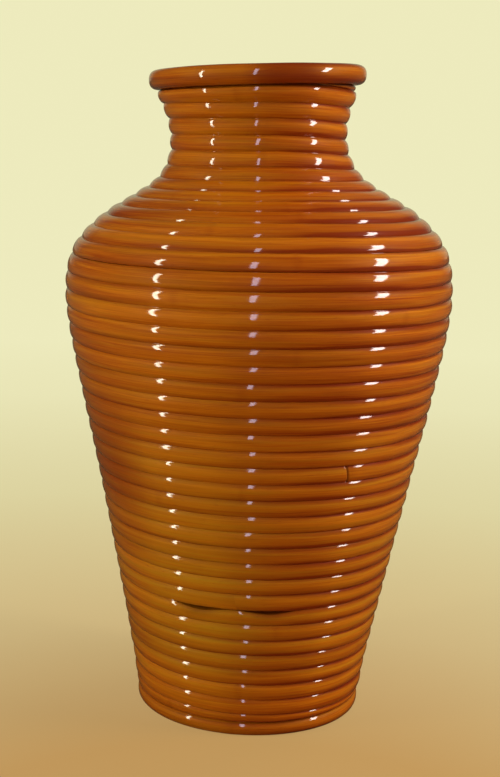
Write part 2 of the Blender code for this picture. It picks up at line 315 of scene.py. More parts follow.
def fine_ends(run):
    """Add points close to both ends of a run, where the cane is rounded and cut at a slant."""
    def close_points(first, second):
        step = (second[0] - first[0]).length
        return [(first[0].lerp(second[0], reach / step), first[1], first[2])
                for reach in END_POINTS if reach < step]
    start, end = close_points(run[0], run[1]), close_points(run[-1], run[-2])
    return [run[0], *start, *run[1:-1], *reversed(end), run[-1]]


# Node trees, written as expressions

class Wire:
    """An output socket that takes part in sums: each operator adds a Math node to its tree."""

    def __init__(self, graph, socket):
        self.graph = graph
        self.socket = socket

    def other(self, name):
        """Another output of the same node."""
        return Wire(self.graph, self.socket.node.outputs[name])

    def math(self, operation, *others):
        return self.graph.node("ShaderNodeMath", {"operation": operation},
                               dict(enumerate((self, *others))))

    def __add__(self, other):
        return self.math("ADD", other)

    def __sub__(self, other):
        return self.math("SUBTRACT", other)

    def __mul__(self, other):
        return self.math("MULTIPLY", other)

    def __truediv__(self, other):
        return self.math("DIVIDE", other)

    def __pow__(self, other):
        return self.math("POWER", other)

    def __neg__(self):
        return self.math("MULTIPLY", -1.0)

    __radd__ = __add__
    __rmul__ = __mul__

    def __rsub__(self, other):
        return self.graph.node("ShaderNodeMath", {"operation": "SUBTRACT"}, {0: other, 1: self})

    def __rtruediv__(self, other):
        return self.graph.node("ShaderNodeMath", {"operation": "DIVIDE"}, {0: other, 1: self})

    def ramp(self, low, high):
        """0 below low, 1 above high, and smooth between them; low may be the larger."""
        return self.graph.node("ShaderNodeMapRange", {"interpolation_type": "SMOOTHSTEP"},
                               {"Value": self, "From Min": low, "From Max": high})

    def bell(self, width):
        """1 where the value is 0, falling to nothing a few widths away."""
        return (-((self / width) ** 2)).math("EXPONENT")


class Graph:
    """A node tree to which nodes are added by what they do."""

    def __init__(self, tree):
        self.tree = tree
        tree.nodes.clear()

    def node(self, kind, settings=None, sockets=None, output=0):
        """Add a node: its settings first, then the values or links of its sockets."""
        made = self.tree.nodes.new(kind)
        for name, value in (settings or {}).items():
            if name == "stops":
                self.set_stops(made.color_ramp, value)
            else:
                setattr(made, name, value)
        for name, value in (sockets or {}).items():
            self.feed(made.inputs[name], value)
        return Wire(self, made.outputs[output]) if made.outputs else None

    def set_stops(self, ramp, stops):
        while len(ramp.elements) < len(stops):
            ramp.elements.new(1)
        for element, (position, colour) in zip(ramp.elements, stops):
            element.position = position
            element.color = (*colour, 1)

    def feed(self, socket, value):
        if isinstance(value, Wire):
            self.tree.links.new(value.socket, socket)
        elif isinstance(value, tuple) and len(value) == 3 and socket.type == "RGBA":
            socket.default_value = (*value, 1)
        else:
            socket.default_value = value

    def vector(self, operation, *values, scale=None, output=0):
        sockets = dict(enumerate(values))
        if scale is not None:
            sockets["Scale"] = scale
        return self.node("ShaderNodeVectorMath", {"operation": operation}, sockets, output)

    def split(self, vector):
        """The X of a vector, with Y and Z as the same node's other outputs."""
        return self.node("ShaderNodeSeparateXYZ", None, {0: vector})

    def join(self, x, y, z=0.0):
        return self.node("ShaderNodeCombineXYZ", None, {0: x, 1: y, 2: z})

    def place(self):
        """Where a point lies, from the middle of the footprint."""
        return self.node("ShaderNodeTexCoord", output="Object")

    def facing(self, azimuth):
        """How far a place faces an azimuth: 1 straight at it, 0 at right angles, -1 away."""
        level = self.vector("MULTIPLY", self.place(), (1.0, 1.0, 0.0))
        way = (math.sin(azimuth), -math.cos(azimuth), 0.0)
        return self.vector("DOT_PRODUCT", self.vector("NORMALIZE", level), way, output="Value")

    def noise(self, vector, scale, detail, roughness=0.5):
        return self.node("ShaderNodeTexNoise", None, {
            "Vector": vector, "Scale": scale, "Detail": detail, "Roughness": roughness})

    def colours(self, value, *stops):
        """A colour ramp."""
        return self.node("ShaderNodeValToRGB", {"stops": stops}, {"Fac": value})

    def mix(self, share, first, second):
        return self.node("ShaderNodeMix", {"data_type": "RGBA"},
                         {0: share, 6: first, 7: second}, output=2)

    def bump(self, height, strength, distance=0.0003):
        return self.node("ShaderNodeBump", None, {
            "Height": height, "Strength": strength, "Distance": distance}, output="Normal")

    def capture(self, geometry, **fields):
        """Keep fields on a geometry and return it with them, in order."""
        node = self.tree.nodes.new("GeometryNodeCaptureAttribute")
        self.feed(node.inputs["Geometry"], geometry)
        for name, field in fields.items():
            node.capture_items.new("VECTOR" if field.socket.type == "VECTOR" else "FLOAT", name)
            self.feed(node.inputs[name], field)
        return [Wire(self, node.outputs[name]) for name in ("Geometry", *fields)]


# Geometry Nodes

CANE_SIZES = {                   # inputs of the cane tree, with their values for a wound cane
    "Sides": 28,
    "Press": 2.0,                # 2 is a round section; more is pressed square
    "Spread": 1.0,               # height of the section over its depth
    "Half Height": 9.0,          # the section is cut off flat beyond this, in radii
    "Sway": 0.00035,             # how far the centre line wanders
    "Sway Length": 0.05,
    "Sway Drift": 3.0,           # how fast the wander changes from one turn to the next
    "Thickness Play": 0.02,      # share by which the thickness varies
    "Node Spacing": 0.31,        # from one node of the plant to the next
    "Node Swell": 0.025,         # share by which a node is thicker
    "Node Width": 0.004,
    "Start Slant": -0.35,        # how far a cut end leans, in radii
    "End Slant": -0.35,
    "Start Shave": 0.02,         # share by which a shaved end is thinner
    "End Shave": 0.02,
    "Shave Length": 0.022,
    "Round": 0.1,                # share by which a cut end is rounded
    "Round Length": 0.0005,
    "Flat Height": -1.0,         # nothing reaches below this
    "End Cover": 0.0,            # hides what is this close to an end
    "Dark Below": 0.0,           # radius below which a cane is painted with shade
    "Seed": 0.0,
}
# A closed ring has no ends, and its wander meets itself
CLOSED = {"sway_drift": 0.0, "end_cover": 1.0, "start_shave": 0.0, "end_shave": 0.0}
PLAY_SCALE = 18.0                # of the noise that varies the thickness
CUT_REACH = 1.4                  # a slanted end's shift fades over this many times its depth
CUT_LEAST = 0.0018               # and this length more
DARK_FULL = 0.4                  # share of "Dark Below" at which the painted shade is darkest
SHARP_ANGLE = 0.7                # an edge that bends by more stays sharp


def start_tree(name, kinds, defaults):
    """A Geometry Nodes tree with its graph and its inputs: a geometry and sockets by name."""
    tree = bpy.data.node_groups.new(name, "GeometryNodeTree")
    for title, kind in {"Geometry": "Geometry", **kinds}.items():
        socket = tree.interface.new_socket(title, in_out="INPUT", socket_type="NodeSocket" + kind)
        if title in defaults:
            socket.default_value = defaults[title]
    tree.interface.new_socket("Geometry", in_out="OUTPUT", socket_type="NodeSocketGeometry")
    graph = Graph(tree)
    return tree, graph, graph.node("NodeGroupInput")


def end_tree(graph, geometry, material):
    """Make the tree's output one real mesh with a material."""
    real = graph.node("GeometryNodeRealizeInstances", None, {"Geometry": geometry})
    coloured = graph.node("GeometryNodeSetMaterial", None, {"Geometry": real, "Material": material})
    out = graph.tree.nodes.new("NodeGroupOutput")
    graph.feed(out.inputs["Geometry"], coloured)


def cane_section(graph, position, size):
    """The section of a cane with a radius of 1, and the angle of each of its points."""
    circle = graph.node("GeometryNodeCurvePrimitiveCircle", None, {
        "Resolution": size["Sides"], "Radius": 1.0})
    angle = graph.node("GeometryNodeSplineParameter", output="Factor") * (2 * math.pi)
    circle, angle = graph.capture(circle, angle=angle)
    press = size["Press"]
    full = (angle.math("COSINE").math("ABSOLUTE") ** press
            + angle.math("SINE").math("ABSOLUTE") ** press) ** (-1 / press)
    spread = graph.join(full, full * size["Spread"])
    shaped = graph.split(graph.vector("MULTIPLY", position, spread))
    half = size["Half Height"]
    high = shaped.other("Y").math("MINIMUM", half).math("MAXIMUM", -half)
    section = graph.node("GeometryNodeSetPosition", None, {
        "Geometry": circle, "Position": graph.join(shaped, high)})
    return section, angle


def cane_tree():
    """Sweep a cane along its centre line: it wanders, swells at its nodes and has slanted ends."""
    kinds = {name: "Int" if isinstance(value, int) else "Float"
             for name, value in CANE_SIZES.items()}
    tree, graph, given = start_tree(
        "cane along a line", {**kinds, "Material": "Material"}, CANE_SIZES)
    size = {name: given.other(name) for name in CANE_SIZES}
    seed = size["Seed"]          # its factors only keep the patterns of two canes apart

    # Along the line
    along = graph.node("GeometryNodeSplineParameter", output="Length")
    whole = graph.node("GeometryNodeSplineLength", output="Length")
    position = graph.node("GeometryNodeInputPosition")
    drift = along * size["Sway Drift"]
    wander = graph.node("ShaderNodeTexNoise", {"noise_dimensions": "4D"}, {
        "Vector": position, "W": drift + seed * 7.0, "Scale": 1 / size["Sway Length"],
        "Detail": 1.0}, output="Color")
    offset = graph.vector("SCALE", graph.vector("SUBTRACT", wander, (0.5, 0.5, 0.5)),
                          scale=size["Sway"] * 2)
    play = graph.node("ShaderNodeTexNoise", {"noise_dimensions": "4D"}, {
        "Vector": position, "W": drift + seed * 3.0, "Scale": PLAY_SCALE, "Detail": 1.0}) - 0.5
    beyond = (along / size["Node Spacing"] + seed * 0.37).math("FRACT") - 0.5
    knuckle = (beyond * size["Node Spacing"]).bell(size["Node Width"])
    shave = (along.bell(size["Shave Length"]) * size["Start Shave"]
             + (whole - along).bell(size["Shave Length"]) * size["End Shave"])
    end = along.math("MINIMUM", whole - along) + size["End Cover"]
    first = (whole - along * 2).math("GREATER_THAN", 0.0)
    slant = first * size["Start Slant"] + (1 - first) * size["End Slant"]
    own = graph.node("GeometryNodeInputRadius")
    radius = own * (1 + play * size["Thickness Play"] * 2 + knuckle * size["Node Swell"]
                    - shave - end.bell(size["Round Length"]) * size["Round"])
    shade = own.ramp(size["Dark Below"], size["Dark Below"] * DARK_FULL)
    tangent = graph.node("GeometryNodeInputTangent")
    line, along, end, slant, radius, tangent, knuckle, shade = graph.capture(
        given, along=along, end=end, slant=slant, radius=radius, tangent=tangent,
        knuckle=knuckle, shade=shade)
    line = graph.node("GeometryNodeSetPosition", None, {"Geometry": line, "Offset": offset})

    # Around it
    section, angle = cane_section(graph, position, size)
    cane = graph.node("GeometryNodeCurveToMesh", None, {
        "Curve": line, "Profile Curve": section, "Scale": radius, "Fill Caps": True})
    rise = -angle.math("SINE")
    reach = slant.math("ABSOLUTE") * radius * CUT_REACH + CUT_LEAST
    cut = graph.vector("SCALE", tangent, scale=rise * radius * slant * (end / reach).bell(1.0))
    cane = graph.node("GeometryNodeSetPosition", None, {"Geometry": cane, "Offset": cut})
    place = graph.split(position)
    floor = place.other("Z").math("MAXIMUM", size["Flat Height"])
    cane = graph.node("GeometryNodeSetPosition", None, {
        "Geometry": cane, "Position": graph.join(place, place.other("Y"), floor)})

    # For the materials
    upward = rise * (size["Spread"] / size["Spread"].math("MINIMUM", size["Half Height"]))
    grain = graph.join(along + seed * 3.1, angle.math("COSINE"), upward)
    for name, value, kind in (("grain", grain, "FLOAT_VECTOR"), ("end", end, "FLOAT"),
                              ("knuckle", knuckle, "FLOAT"), ("shade", shade, "FLOAT")):
        cane = graph.node("GeometryNodeStoreNamedAttribute",
                          {"data_type": kind, "domain": "POINT"},
                          {"Geometry": cane, "Name": name, "Value": value})
    sharp = graph.node("GeometryNodeInputMeshEdgeAngle").math("GREATER_THAN", SHARP_ANGLE)
    cane = graph.node("GeometryNodeSetShadeSmooth", {"domain": "EDGE"},
                      {"Geometry": cane, "Selection": sharp, "Shade Smooth": False})
    end_tree(graph, cane, given.other("Material"))
    return tree


def set_inputs(modifier, values):
    """Set a modifier's inputs by their names in the tree."""
    for item in modifier.node_group.interface.items_tree:
        if item.in_out == "INPUT" and item.name in values:
            modifier[item.identifier] = values[item.name]


def linked(name, data):
    """A new object in the scene."""
    made = bpy.data.objects.new(name, data)
    bpy.context.scene.collection.objects.link(made)
    return made


def finished(thing, tree, values):
    """Run a Geometry Nodes tree on an object and return the result as a plain mesh object."""
    modifier = thing.modifiers.new(tree.name, "NODES")
    modifier.node_group = tree
    set_inputs(modifier, values)
    bpy.context.view_layer.update()
    shaped = thing.evaluated_get(bpy.context.evaluated_depsgraph_get())
    mesh = bpy.data.meshes.new_from_object(shaped)
    name = thing.name
    bpy.data.objects.remove(thing)
    mesh.name = name
    return linked(name, mesh)


def cane_line(name, run, closed):
    """A curve through a run of points, each with its radius and its tilt."""
    curve = bpy.data.curves.new(name, "CURVE")
    curve.dimensions = "3D"
    curve.twist_mode = "Z_UP"
    spline = curve.splines.new("POLY")
    spline.points.add(len(run) - 1)
    for slot, (point, radius, tilt) in zip(spline.points, run):
        slot.co = (*point, 1)
        slot.radius = radius
        slot.tilt = tilt
    spline.use_cyclic_u = closed
    return linked(name, curve)


def make_cane(name, run, tree, material, closed=False, **sizes):
    """A cane through a run of points, with some of the cane tree's sizes."""
    values = {key.replace("_", " ").title(): value for key, value in sizes.items()}
    made = finished(cane_line(name, run, closed), tree,
                    {**CANE_SIZES, **values, "Material": material})
    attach(made, "root")
    return made


# Materials

LIT_SIDE = math.radians(-22)  # painted light: the cane is painted most golden where it faces this azimuth
SHADE_SIDE = math.radians(11)     # painted shade: a darker strip faces this azimuth
SHADE_FLANK = math.radians(-64)   # and a patch of painted shade faces this one
SHADE_HEIGHT = 0.19               # at this height
CREVICE_SHADE_SIDE = math.radians(55)  # painted shade in the crevices is strongest where they face this azimuth
# ochre of the streaks, also used for painted light
OCHRE_AND_LIGHT = (0.45, 0.2, 0.006)
INNER_DARK = (0.13, 0.04, 0.008)         # the wall's bare inside
INNER_LIGHT = (0.26, 0.10, 0.025)
CUT_END = (0.2, 0.06, 0.008)
GAP_SHADE = (0.09, 0.012, 0.0004)             # painted shade in a loose place's gap and on the last tip under the rim
LACQUER = {              # light, middle and dark streaks, stain and painted shade, and share of painted shade in the strip in front
    "lacquered cane": ((0.60, 0.175, 0.005), (0.46, 0.104, 0.002), (0.31, 0.048, 0.001),
                       (0.19, 0.016, 0.0005), 0.23),
    "lacquered rim cane": ((0.50, 0.132, 0.004), (0.38, 0.078, 0.002), (0.25, 0.037, 0.001),
                           (0.16, 0.014, 0.0005), 0.75),
    "lacquered foot cane": ((0.54, 0.15, 0.005), (0.41, 0.09, 0.002), (0.27, 0.042, 0.001),
                            (0.16, 0.014, 0.0005), 0.3),
}


def start_material(name):
    material = bpy.data.materials.new(name)
    material.use_nodes = True
    return material, Graph(material.node_tree)


def end_material(graph, shader):
    graph.node("ShaderNodeOutputMaterial", None, {"Surface": shader})


def cane_field(graph, name, output="Fac"):
    """A field that the cane tree has stored."""
    return graph.node("ShaderNodeAttribute", {"attribute_name": name}, output=output)


def stretched(graph, grain, length, width, detail, roughness=0.55):
    """Noise drawn out along the cane: the length and the width of one streak, in metres."""
    around = CANE / 2 / width
    stretch = graph.vector("MULTIPLY", grain, (1 / length, around, around))
    return graph.noise(stretch, 1.0, detail, roughness)


def ochre_and_light_share(graph, grain, upward, high):
    """More ochre in streaks and low down, and painted light on the upper side of a cane and on the
    lit side.
    """
    low = high.ramp(0.28, 0.1) * high.ramp(0.015, 0.07)
    # painted light: golden on each cane's upper side and on the side that faces the lit azimuth
    painted_light = (upward.ramp(-0.5, 0.5) * (0.04 + low * 0.1)
              + graph.facing(LIT_SIDE).ramp(0.82, 1.0) * (0.1 + low * 0.24))
    streaks = stretched(graph, grain, 0.09, 0.0028, 2.0).ramp(0.42, 0.68)
    return streaks * (0.24 + low * 0.16) + low * 0.14 + painted_light


def painted_shade_share(graph, high, front_shade):
    """Painted shade in a strip in front and in a patch on the flank."""
    patch = graph.facing(SHADE_FLANK).ramp(0.85, 1.0) * (high - SHADE_HEIGHT).bell(0.055)
    return graph.facing(SHADE_SIDE).ramp(0.9, 1.0) * front_shade + patch * 0.62


def crevice_shade_share(graph, grain, upward, meeting):
    """Painted shade where two turns meet and on the under side of each cane: uneven, and strongest
    on one side.
    """
    wide = stretched(graph, grain, 0.09, 0.02, 1.0).ramp(0.35, 0.65)
    crevice_shade = (upward.math("ABSOLUTE").ramp(meeting - 0.24 - wide * 0.4, meeting) * 0.6
            + (-upward).ramp(-0.4, meeting) * (0.35 + wide * 0.2))
    side = graph.facing(CREVICE_SHADE_SIDE).ramp(0.5, 1.0)
    uneven = stretched(graph, grain, 0.22, 0.02, 1.0).ramp(0.38, 0.62)
    strength = 0.2 + uneven * 0.55 + side * 1.1
    return (crevice_shade * strength).math("MINIMUM", 1.0) * (0.78 + side * 0.15)


def lacquered_cane(name, meeting):
    """Cane under a clear glossy coat, with painted shade between and under the turns, in a front
    strip and in gaps, painted light on one side and on top, and bare inside the vase.
    """
    light, middle, dark, stain_and_shade, front_shade = LACQUER[name]
    material, graph = start_material(name)
    grain = cane_field(graph, "grain", "Vector")     # length along the cane, outward, upward
    outward = graph.split(grain).other("Y")
    upward = outward.other("Z")
    high = graph.split(graph.place()).other("Z")
    fibre = stretched(graph, grain, 0.045, 0.0006, 4.0, 0.6)
    streak = stretched(graph, grain, 0.16, 0.003, 2.0)
    tone = stretched(graph, grain, 0.5, 0.02, 1.0)
    pore = stretched(graph, grain, 0.006, 0.0003, 1.0).ramp(0.66, 0.78)
    ring = cane_field(graph, "knuckle").ramp(0.35, 0.95)
    shade = cane_field(graph, "shade")
    cut = cane_field(graph, "end").ramp(0.0014, 0.0004)
    bare = (-outward).ramp(0.15, 0.5)

    depth = fibre * 0.42 + streak * 0.33 + tone * 0.25
    colour = graph.colours(depth, (0.39, dark), (0.5, middle), (0.61, light))
    # ochre streaks, and painted light
    colour = graph.mix(ochre_and_light_share(graph, grain, upward, high), colour, OCHRE_AND_LIGHT)
    # painted shade in the strip in front and on the flank
    colour = graph.mix(painted_shade_share(graph, high, front_shade), colour, stain_and_shade)
    # painted shade in the crevices and under each cane
    colour = graph.mix(crevice_shade_share(graph, grain, upward, meeting), colour, stain_and_shade)
    colour = graph.mix(pore * 0.45, colour, stain_and_shade)
    colour = graph.mix(ring * 0.15, colour, stain_and_shade)
    inner = graph.colours(depth, (0.34, INNER_DARK), (0.66, INNER_LIGHT))
    colour = graph.mix(bare, colour, inner)
    colour = graph.mix(cut * 0.4 * (1 - shade), colour, CUT_END)
    # painted shade in the gaps over thinned canes, darkest on their upper side
    colour = graph.mix(shade * (0.15 + upward.ramp(-0.1, 0.6) * 0.65), colour, GAP_SHADE)
    height = fibre * 0.5 - pore * 0.6 + ring * 0.6 + streak * 0.5
    shader = graph.node("ShaderNodeBsdfPrincipled", None, {
        "Base Color": colour, "Roughness": 0.34 + fibre * 0.2 + bare * 0.3,
        "Coat Weight": 1.0 - bare, "Coat Roughness": 0.06, "Coat IOR": 1.42,
        "Specular IOR Level": 0.05, "Normal": graph.bump(height, 0.35)})
    end_material(graph, shader)
    return material


def plain_cane(name):
    """Bare cane: straw with long fibres, darker at its nodes."""
    material, graph = start_material(name)
    grain = cane_field(graph, "grain", "Vector")
    fibre = stretched(graph, grain, 0.04, 0.0005, 4.0, 0.65)
    streak = stretched(graph, grain, 0.12, 0.003, 2.0)
    depth = fibre * 0.6 + streak * 0.4
    colour = graph.colours(depth, (0.34, (0.27, 0.12, 0.04)), (0.5, (0.47, 0.26, 0.10)),
                           (0.68, (0.64, 0.42, 0.2)))
    ring = cane_field(graph, "knuckle").ramp(0.3, 0.95)
    colour = graph.mix(ring * 0.6, colour, (0.22, 0.10, 0.035))
    shader = graph.node("ShaderNodeBsdfPrincipled", None, {
        "Base Color": colour, "Roughness": 0.5 + fibre * 0.25,
        "Normal": graph.bump(fibre + ring * 0.6, 0.5)})
    end_material(graph, shader)
    return material


def plain_board(name):
    """Plywood: a face with long grain, and the glued layers on its edge."""
    material, graph = start_material(name)
    place = graph.place()
    parts = graph.split(place)
    waver = graph.noise(graph.vector("MULTIPLY", place, (6.0, 22.0, 22.0)), 1.0, 2.0)
    growth = (parts.other("Y") * 160 + waver * 5).math("SINE") * 0.5 + 0.5
    fibre = graph.noise(graph.vector("MULTIPLY", place, (40.0, 900.0, 900.0)), 1.0, 4.0, 0.6)
    depth = growth * 0.35 + fibre * 0.65
    colour = graph.colours(depth, (0.25, (0.27, 0.135, 0.05)), (0.75, (0.56, 0.36, 0.18)))
    layers = (parts.other("Z") - BOARD_LIFT) / BOARD_THICKNESS * BOARD_LAYERS
    layer = layers.math("FLOOR").math("PINGPONG", 1.0)
    colour = graph.mix(layer * 0.45, colour, (0.2, 0.095, 0.035))
    shader = graph.node("ShaderNodeBsdfPrincipled", None, {
        "Base Color": colour, "Roughness": 0.6 + fibre * 0.2, "Normal": graph.bump(fibre, 0.4)})
    end_material(graph, shader)
    return material


def bright_nail(name):
    """Drawn steel with fine scratches and a little tarnish."""
    material, graph = start_material(name)
    place = graph.place()
    scratch = graph.noise(place, 2400.0, 3.0, 0.7)
    tarnish = graph.noise(place, 420.0, 2.0).ramp(0.5, 0.75)
    colour = graph.mix(tarnish * 0.5, (0.62, 0.6, 0.56), (0.36, 0.31, 0.26))
    shader = graph.node("ShaderNodeBsdfPrincipled", None, {
        "Base Color": colour, "Metallic": 1.0,
        "Roughness": 0.28 + scratch * 0.12 + tarnish * 0.2,
        "Normal": graph.bump(scratch, 0.15, 0.0001)})
    end_material(graph, shader)
    return material


# Pieces; every cane has a seed of its own

def add_winding(tree, material):
    for number, run in enumerate(cane_runs(wind()), 1):
        name = f"cane_{number}"
        cane = make_cane(
            name + "_lacquered", run, tree, material, seed=float(number), press=CANE_PRESS,
            spread=NECK_SPREAD if number in NECK_CANES else CANE_SPREAD, half_height=CANE_HALF,
            dark_below=DARK_BELOW.get(number, 0.0),
            end_cover=TIGHT_COVER if number in TIGHT_CANES else 0.0)
        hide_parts(name)


def ring_run(radius, height, thickness):
    """A closed level ring on the leaning axis."""
    return [(lean(radius, height, math.pi + index * STEP), thickness / 2, 0)
            for index in range(COLUMNS)]


def add_foot_ring(tree, material):
    run = ring_run(*FOOT_MIDDLE, FOOT_CANE)
    ring = make_cane("foot_ring_lacquered", run, tree, material, closed=True, seed=21.0,
                     sway=0.0002, flat_height=0.0, press=RING_PRESS, **CLOSED)
    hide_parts("foot_ring")


def add_rim_ring(tree, material):
    run = ring_run(*RIM_MIDDLE, RIM_CANE)
    ring = make_cane("rim_ring_lacquered", run, tree, material, closed=True, seed=22.0,
                     press=RING_PRESS, **CLOSED)
    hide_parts("rim_ring")


def even_marks(low, high, spacing):
    """Marks from low up to high, at even steps along the outline."""
    marks = [low]
    while marks[-1] < high - spacing:
        _, slope = outline(marks[-1])
        marks.append(marks[-1] + spacing / math.hypot(1, slope))
    return [*marks, high]


def frame_point(radius, height, azimuth):
    """A point of the inner frame, which stands as far out as the CAD part's corners."""
    return lean(radius * STRADDLE, height, azimuth)


def rib_azimuths():
    return [TIP_AZIMUTH + number * 2 * math.pi / RIBS for number in range(RIBS)]


def rib_top(azimuth, past):
    """A point on the straight top of a rib, a distance past the rim nail."""
    seat = RIM_CANE / 2 + CLEARANCE + RIB_CANE / 2
    inward = seat * math.cos(RIB_TILT) - past * math.sin(RIB_TILT)
    upward = seat * math.sin(RIB_TILT) + past * math.cos(RIB_TILT)
    return frame_point(RIM_MIDDLE[0] - inward, RIM_MIDDLE[1] + upward, azimuth)


def rib_foot(azimuth):
    inward = FOOT_CANE / 2 + CLEARANCE + RIB_CANE / 2
    return frame_point(FOOT_MIDDLE[0] - inward, BOARD_LIFT + BOARD_THICKNESS + CLEARANCE, azimuth)


def rib_path(azimuth):
    """Centre line of a rib: upright on the board, then along the inside of the wall to the rim."""
    foot = rib_foot(azimuth)
    knee = foot + Vector((0, 0, RIB_RUN))
    marks = even_marks(knee.z + RIB_RUN, RIM_MARK - RIB_LEAVE, RIB_STEP)
    inside = [frame_point(*wall(mark, CANE + RIB_AIR + RIB_CANE / 2), azimuth) for mark in marks]
    return [foot, knee, *inside, rib_top(azimuth, -RIB_HEAD / 2), rib_top(azimuth, RIB_HEAD / 2)]


def add_ribs(tree, material):
    for number, azimuth in enumerate(rib_azimuths(), 1):
        run = [(point, RIB_CANE / 2, 0) for point in rib_path(azimuth)]
        rib = make_cane(f"rib_{number}_bare", fine_ends(run), tree, material,
                        seed=30.0 + number, sides=THIN_SIDES, sway=0.0002,
                        node_spacing=0.26, end_slant=0.0, round=0.12)
        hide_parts(f"rib_{number}")


def add_hoop(name, mark, tree, material, seed):
    """A closed hoop inside the ribs."""
    inward = CANE + RIB_AIR + RIB_CANE + CLEARANCE + HOOP_CANE / 2
    radius, height = wall(mark, inward)
    run = ring_run(radius * STRADDLE, height, HOOP_CANE)
    hoop = make_cane(name + "_bare", run, tree, material, closed=True, seed=seed,
                     sides=THIN_SIDES, sway=0.0001, **CLOSED)
    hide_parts(name)


def add_board(material):
    """The round plywood board inside the foot ring."""
    low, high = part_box("base_board")
    radius = (high.x - low.x) / 2
    shell = bmesh.new()
    bmesh.ops.create_cone(shell, cap_ends=True, segments=DISC_SIDES, radius1=radius,
                          radius2=radius, depth=high.z - low.z,
                          matrix=Matrix.Translation((low + high) / 2))
    rims = [edge for edge in shell.edges
            if any(len(face.verts) > 4 for face in edge.link_faces)]
    bmesh.ops.bevel(shell, geom=rims, offset=BOARD_EDGE, segments=2, affect="EDGES", profile=0.5)
    mesh = bpy.data.meshes.new("base_board_plywood")
    shell.to_mesh(mesh)
    shell.free()
    mesh.materials.append(material)
    board = linked("base_board_plywood", mesh)
    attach(board, "root")
    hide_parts("base_board")


def nail_mesh(shank_length):
    """A turned nail whose head's underside lies at the origin, with its shank up +Z."""
    profile = [(0, -HEAD_THICKNESS), (HEAD * HEAD_FLAT, -HEAD_THICKNESS),
               (HEAD / 2 - HEAD_THICKNESS / 3, -HEAD_THICKNESS * 0.8),
               (HEAD / 2, -HEAD_THICKNESS * 0.4), (HEAD / 2, 0), (SHANK / 2, 0),
               (SHANK / 2, shank_length - SHANK * NAIL_POINT), (0, shank_length)]
    mesh = bpy.data.meshes.new("nail")
    shell = bmesh.new()
    corners = [shell.verts.new((radius, 0, height)) for radius, height in profile]
    edges = [shell.edges.new(pair) for pair in zip(corners, corners[1:])]
    bmesh.ops.spin(shell, geom=corners + edges, cent=(0, 0, 0), axis=(0, 0, 1),
                   angle=2 * math.pi, steps=NAIL_SIDES)
    bmesh.ops.remove_doubles(shell, verts=shell.verts, dist=1e-6)
    bmesh.ops.recalc_face_normals(shell, faces=shell.faces)
    for face in shell.faces:
        face.smooth = True
    shell.to_mesh(mesh)
    shell.free()
    return mesh


def nail_tree():
    """Drive one nail at every point, along the direction that the point holds."""
    tree, graph, given = start_tree(
        "driven nails", {"Nail": "Object", "Material": "Material"}, {})
    nail = graph.node("GeometryNodeObjectInfo", {"transform_space": "ORIGINAL"},
                      {"Object": given.other("Nail")}, output="Geometry")
    direction = graph.node("GeometryNodeInputNamedAttribute", {"data_type": "FLOAT_VECTOR"},
                           {"Name": "direction"})
    turn = graph.node("FunctionNodeAlignRotationToVector", {"axis": "Z"}, {"Vector": direction})
    nails = graph.node("GeometryNodeInstanceOnPoints", None,
                       {"Points": given, "Instance": nail, "Rotation": turn})
    end_tree(graph, nails, given.other("Material"))
    return tree


def add_nails(name, spots, shank_length, tree, material):
    """Nails at a list of (place of the head's underside, direction of the shank)."""
    pattern = bpy.data.objects.new(name + "_pattern", nail_mesh(shank_length))
    points = bpy.data.meshes.new(name)
    points.from_pydata([place for place, _ in spots], [], [])
    directions = points.attributes.new("direction", "FLOAT_VECTOR", "POINT")
    for slot, (_, direction) in zip(directions.data, spots):
        slot.vector = direction
    nails = finished(linked(name, points), tree, {"Nail": pattern, "Material": material})
    bpy.data.objects.remove(pattern)
    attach(nails, "root")
    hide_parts(*(f"{name[:-1]}_{number}" for number in range(1, len(spots) + 1)))


def rim_nail_spot(azimuth):
    top = rib_top(azimuth, 0)
    outward = (frame_point(*RIM_MIDDLE, azimuth) - top).normalized()
    return top - outward * (RIB_CANE / 2 + CLEARANCE), outward


def base_nail_spot(azimuth):
    foot = rib_foot(azimuth)
    return Vector((foot.x, foot.y, BOARD_LIFT - CLEARANCE)), Vector((0, 0, 1))


def add_all_nails(material):
    tree = nail_tree()
    add_nails("rim_nails", [rim_nail_spot(azimuth) for azimuth in rib_azimuths()],
              RIB_CANE + 2 * CLEARANCE + RIM_BITE, tree, material)
    add_nails("base_nails", [base_nail_spot(azimuth) for azimuth in rib_azimuths()],
              BOARD_THICKNESS + 2 * CLEARANCE + RIB_BITE, tree, material)


# Stage

CREAM = (0.85, 0.826, 0.511)
FLOOR_RADIUS = 60
FLOOR_MIDDLE = (0.0, -0.3)       # the floor is darkest here and pales outwards
FLOOR_REACH = 2.1                # distance at which it is cream
FLOOR_STOPS = [(0.10, (0.535, 0.318, 0.11)), (0.215, (0.625, 0.472, 0.222)),
               (0.43, (0.725, 0.657, 0.357)), (0.72, (0.815, 0.78, 0.468)), (1.0, CREAM)]
FLOOR_IN_GLOSS = 0.1             # share of the floor's brightness that the lacquer mirrors
FLOOR_BOUNCE = 0.85              # share of its light that the floor throws back at the vase
FLOOR_DROP = 0.0001              # keeps the floor apart from the flat under the foot
FLOOR_OWN = 0.78                 # share of its own colour, over the light on it, near the vase
FLOOR_SHADOW_INSIDE = 0.97              # share of painted shadow on it inside the foot
AIR = (1.0, 0.97, 0.92)          # colour of the light from all sides
AIR_STRENGTH = 0.13
ROOM = (0.03, 0.03, 0.03)        # what the lacquer mirrors beside the lamps and the floor
ROOM_BEHIND = 0.5                # share of cream in it behind the vase
LAMP_DISTANCE = 2.0
LAMPS = [                # name, azimuth and rise of its mirror, roll, width, height, watts, colour
    ("left strip", -29.5, 11.0, 8, 0.125, 1.7, 19, (1.0, 0.97, 0.75)),
    ("middle strip", -1.5, 14.0, 0, 0.125, 1.7, 7, (0.8, 0.8, 1.0)),
    ("right strip", 35.5, 23.0, -31, 0.25, 1.2, 25, (1.0, 0.91, 0.85)),
]
